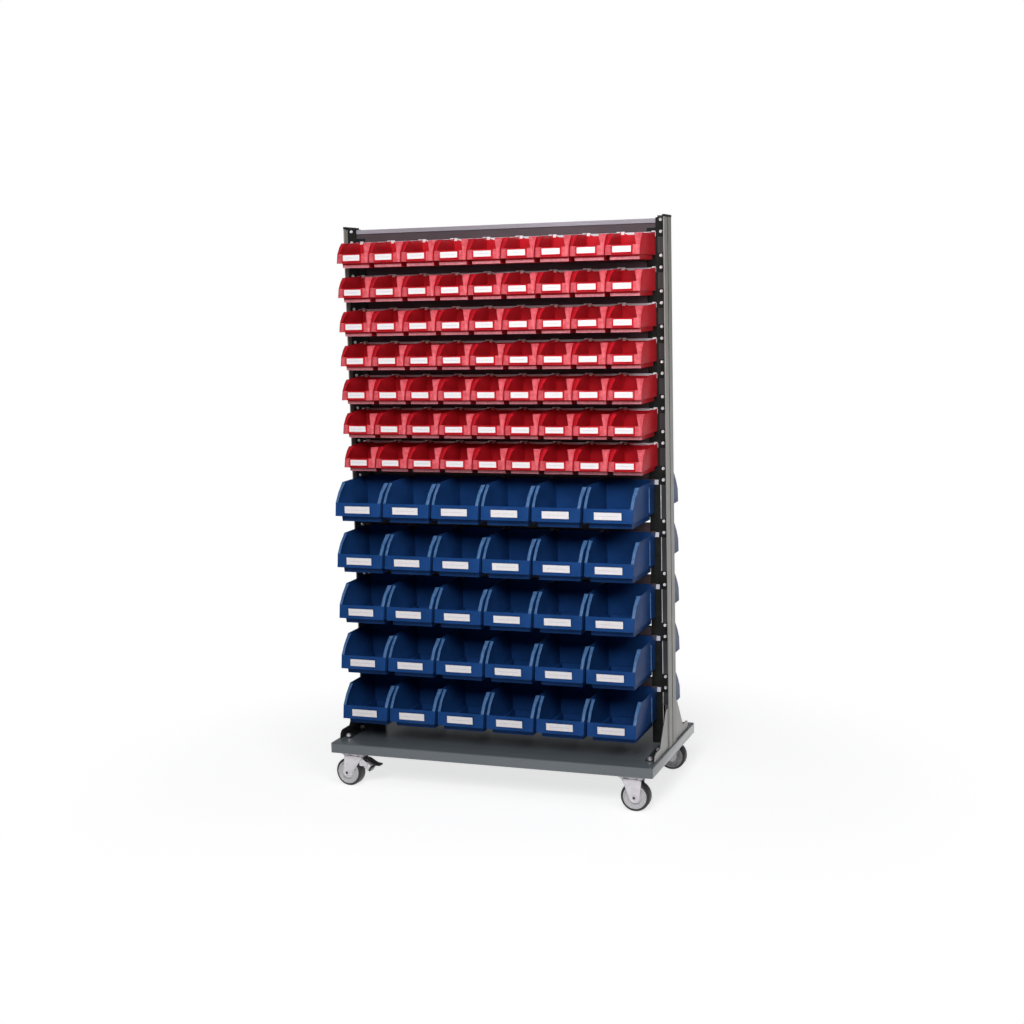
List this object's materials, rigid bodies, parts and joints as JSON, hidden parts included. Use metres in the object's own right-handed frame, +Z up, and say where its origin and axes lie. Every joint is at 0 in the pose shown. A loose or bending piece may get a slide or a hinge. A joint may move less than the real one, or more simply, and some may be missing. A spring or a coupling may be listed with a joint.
{
  "type": "mobile bin rack",
  "caption": "Double-sided steel rack on swivel castors: rows of small red and large blue open-fronted picking bins hang on horizontal rails over a tray.",
  "frame": {"origin": "on the floor under the middle of the tray", "axes": "+Z up, the rows of bins run along X, the front of the rack faces -Y"},
  "size_m": [1, 0.505, 1.676],
  "materials": {
    "tray_paint": "satin dark green-grey paint",
    "upright_paint": "satin light grey-beige paint",
    "rail_steel": "dull dark steel",
    "bright_zinc": "bright zinc plate",
    "red_plastic": "semi-gloss moulded plastic",
    "blue_plastic": "semi-gloss moulded plastic",
    "wheel_plastic": "matt moulded plastic",
    "tyre_rubber": "matt black rubber",
    "pedal_plastic": "matt black"
  },
  "bodies": {
    "rack": {"base_tray": "tray_paint", "upright_left": "upright_paint", "upright_right": "upright_paint", "upright_foot_left": "upright_paint", "upright_foot_right": "upright_paint", "top_beam": "upright_paint", "rail_red_1": "rail_steel", "rail_red_2": "rail_steel", "rail_red_3": "rail_steel", "rail_red_4": "rail_steel", "rail_red_5": "rail_steel", "rail_red_6": "rail_steel", "rail_red_7": "rail_steel", "rail_blue_1": "rail_steel", "rail_blue_2": "rail_steel", "rail_blue_3": "rail_steel", "rail_blue_4": "rail_steel", "rail_blue_5": "rail_steel", "castor_plate_front_left": "bright_zinc", "castor_plate_rear_left": "bright_zinc", "castor_plate_front_right": "bright_zinc", "castor_plate_rear_right": "bright_zinc"},
    "bins_front_red_1": {"bins_front_red_1": "red_plastic"},
    "bins_front_red_2": {"bins_front_red_2": "red_plastic"},
    "bins_front_red_3": {"bins_front_red_3": "red_plastic"},
    "bins_front_red_4": {"bins_front_red_4": "red_plastic"},
    "bins_front_red_5": {"bins_front_red_5": "red_plastic"},
    "bins_front_red_6": {"bins_front_red_6": "red_plastic"},
    "bins_front_red_7": {"bins_front_red_7": "red_plastic"},
    "bins_front_blue_1": {"bins_front_blue_1": "blue_plastic"},
    "bins_front_blue_2": {"bins_front_blue_2": "blue_plastic"},
    "bins_front_blue_3": {"bins_front_blue_3": "blue_plastic"},
    "bins_front_blue_4": {"bins_front_blue_4": "blue_plastic"},
    "bins_front_blue_5": {"bins_front_blue_5": "blue_plastic"},
    "bins_back_red_1": {"bins_back_red_1": "red_plastic"},
    "bins_back_red_2": {"bins_back_red_2": "red_plastic"},
    "bins_back_red_3": {"bins_back_red_3": "red_plastic"},
    "bins_back_red_4": {"bins_back_red_4": "red_plastic"},
    "bins_back_red_5": {"bins_back_red_5": "red_plastic"},
    "bins_back_red_6": {"bins_back_red_6": "red_plastic"},
    "bins_back_red_7": {"bins_back_red_7": "red_plastic"},
    "bins_back_blue_1": {"bins_back_blue_1": "blue_plastic"},
    "bins_back_blue_2": {"bins_back_blue_2": "blue_plastic"},
    "bins_back_blue_3": {"bins_back_blue_3": "blue_plastic"},
    "bins_back_blue_4": {"bins_back_blue_4": "blue_plastic"},
    "bins_back_blue_5": {"bins_back_blue_5": "blue_plastic"},
    "swivel_front_left": {"castor_fork_front_left": "bright_zinc"},
    "roller_front_left": {"castor_wheel_front_left": "wheel_plastic", "castor_tyre_front_left": "tyre_rubber"},
    "brake_front_left": {"brake_pedal_front_left": "pedal_plastic"},
    "swivel_rear_left": {"castor_fork_rear_left": "bright_zinc"},
    "roller_rear_left": {"castor_wheel_rear_left": "wheel_plastic", "castor_tyre_rear_left": "tyre_rubber"},
    "brake_rear_left": {"brake_pedal_rear_left": "pedal_plastic"},
    "swivel_front_right": {"castor_fork_front_right": "bright_zinc"},
    "roller_front_right": {"castor_wheel_front_right": "wheel_plastic", "castor_tyre_front_right": "tyre_rubber"},
    "swivel_rear_right": {"castor_fork_rear_right": "bright_zinc"},
    "roller_rear_right": {"castor_wheel_rear_right": "wheel_plastic", "castor_tyre_rear_right": "tyre_rubber"}
  },
  "joints": [
    {"name": "lift_bins_front_red_1", "type": "slide", "parent": "rack", "child": "bins_front_red_1", "axis": [0, 0, 1], "range_m": [0, 0.012]},
    {"name": "lift_bins_front_red_2", "type": "slide", "parent": "rack", "child": "bins_front_red_2", "axis": [0, 0, 1], "range_m": [0, 0.012]},
    {"name": "lift_bins_front_red_3", "type": "slide", "parent": "rack", "child": "bins_front_red_3", "axis": [0, 0, 1], "range_m": [0, 0.012]},
    {"name": "lift_bins_front_red_4", "type": "slide", "parent": "rack", "child": "bins_front_red_4", "axis": [0, 0, 1], "range_m": [0, 0.012]},
    {"name": "lift_bins_front_red_5", "type": "slide", "parent": "rack", "child": "bins_front_red_5", "axis": [0, 0, 1], "range_m": [0, 0.012]},
    {"name": "lift_bins_front_red_6", "type": "slide", "parent": "rack", "child": "bins_front_red_6", "axis": [0, 0, 1], "range_m": [0, 0.012]},
    {"name": "lift_bins_front_red_7", "type": "slide", "parent": "rack", "child": "bins_front_red_7", "axis": [0, 0, 1], "range_m": [0, 0.012]},
    {"name": "lift_bins_front_blue_1", "type": "slide", "parent": "rack", "child": "bins_front_blue_1", "axis": [0, 0, 1], "range_m": [0, 0.012]},
    {"name": "lift_bins_front_blue_2", "type": "slide", "parent": "rack", "child": "bins_front_blue_2", "axis": [0, 0, 1], "range_m": [0, 0.012]},
    {"name": "lift_bins_front_blue_3", "type": "slide", "parent": "rack", "child": "bins_front_blue_3", "axis": [0, 0, 1], "range_m": [0, 0.012]},
    {"name": "lift_bins_front_blue_4", "type": "slide", "parent": "rack", "child": "bins_front_blue_4", "axis": [0, 0, 1], "range_m": [0, 0.012]},
    {"name": "lift_bins_front_blue_5", "type": "slide", "parent": "rack", "child": "bins_front_blue_5", "axis": [0, 0, 1], "range_m": [0, 0.012]},
    {"name": "lift_bins_back_red_1", "type": "slide", "parent": "rack", "child": "bins_back_red_1", "axis": [0, 0, 1], "range_m": [0, 0.012]},
    {"name": "lift_bins_back_red_2", "type": "slide", "parent": "rack", "child": "bins_back_red_2", "axis": [0, 0, 1], "range_m": [0, 0.012]},
    {"name": "lift_bins_back_red_3", "type": "slide", "parent": "rack", "child": "bins_back_red_3", "axis": [0, 0, 1], "range_m": [0, 0.012]},
    {"name": "lift_bins_back_red_4", "type": "slide", "parent": "rack", "child": "bins_back_red_4", "axis": [0, 0, 1], "range_m": [0, 0.012]},
    {"name": "lift_bins_back_red_5", "type": "slide", "parent": "rack", "child": "bins_back_red_5", "axis": [0, 0, 1], "range_m": [0, 0.012]},
    {"name": "lift_bins_back_red_6", "type": "slide", "parent": "rack", "child": "bins_back_red_6", "axis": [0, 0, 1], "range_m": [0, 0.012]},
    {"name": "lift_bins_back_red_7", "type": "slide", "parent": "rack", "child": "bins_back_red_7", "axis": [0, 0, 1], "range_m": [0, 0.012]},
    {"name": "lift_bins_back_blue_1", "type": "slide", "parent": "rack", "child": "bins_back_blue_1", "axis": [0, 0, 1], "range_m": [0, 0.012]},
    {"name": "lift_bins_back_blue_2", "type": "slide", "parent": "rack", "child": "bins_back_blue_2", "axis": [0, 0, 1], "range_m": [0, 0.012]},
    {"name": "lift_bins_back_blue_3", "type": "slide", "parent": "rack", "child": "bins_back_blue_3", "axis": [0, 0, 1], "range_m": [0, 0.012]},
    {"name": "lift_bins_back_blue_4", "type": "slide", "parent": "rack", "child": "bins_back_blue_4", "axis": [0, 0, 1], "range_m": [0, 0.012]},
    {"name": "lift_bins_back_blue_5", "type": "slide", "parent": "rack", "child": "bins_back_blue_5", "axis": [0, 0, 1], "range_m": [0, 0.012]},
    {"name": "castor_swivel_front_left", "type": "hinge", "parent": "rack", "child": "swivel_front_left", "pos_m": [-0.4325, -0.21, 0.094], "axis": [0, 0, 1], "continuous": true},
    {"name": "wheel_spin_front_left", "type": "hinge", "parent": "swivel_front_left", "child": "roller_front_left", "pos_m": [-0.45591, -0.20795, 0.0425], "axis": [0.0872, 0.9962, 0], "continuous": true},
    {"name": "brake_press_front_left", "type": "hinge", "parent": "swivel_front_left", "child": "brake_front_left", "pos_m": [-0.40759, -0.21218, 0.0864], "axis": [0.0872, 0.9962, 0], "range_deg": [0, 12]},
    {"name": "castor_swivel_rear_left", "type": "hinge", "parent": "rack", "child": "swivel_rear_left", "pos_m": [-0.4325, 0.21, 0.094], "axis": [0, 0, 1], "continuous": true},
    {"name": "wheel_spin_rear_left", "type": "hinge", "parent": "swivel_rear_left", "child": "roller_rear_left", "pos_m": [-0.45591, 0.21205, 0.0425], "axis": [0.0872, 0.9962, 0], "continuous": true},
    {"name": "brake_press_rear_left", "type": "hinge", "parent": "swivel_rear_left", "child": "brake_rear_left", "pos_m": [-0.40759, 0.20782, 0.0864], "axis": [0.0872, 0.9962, 0], "range_deg": [0, 12]},
    {"name": "castor_swivel_front_right", "type": "hinge", "parent": "rack", "child": "swivel_front_right", "pos_m": [0.4325, -0.21, 0.094], "axis": [0, 0, 1], "continuous": true},
    {"name": "wheel_spin_front_right", "type": "hinge", "parent": "swivel_front_right", "child": "roller_front_right", "pos_m": [0.4405, -0.21, 0.0425], "axis": [0, -1, 0], "continuous": true},
    {"name": "castor_swivel_rear_right", "type": "hinge", "parent": "rack", "child": "swivel_rear_right", "pos_m": [0.4325, 0.21, 0.094], "axis": [0, 0, 1], "continuous": true},
    {"name": "wheel_spin_rear_right", "type": "hinge", "parent": "swivel_rear_right", "child": "roller_rear_right", "pos_m": [0.4405, 0.21, 0.0425], "axis": [0, -1, 0], "continuous": true}
  ]
}
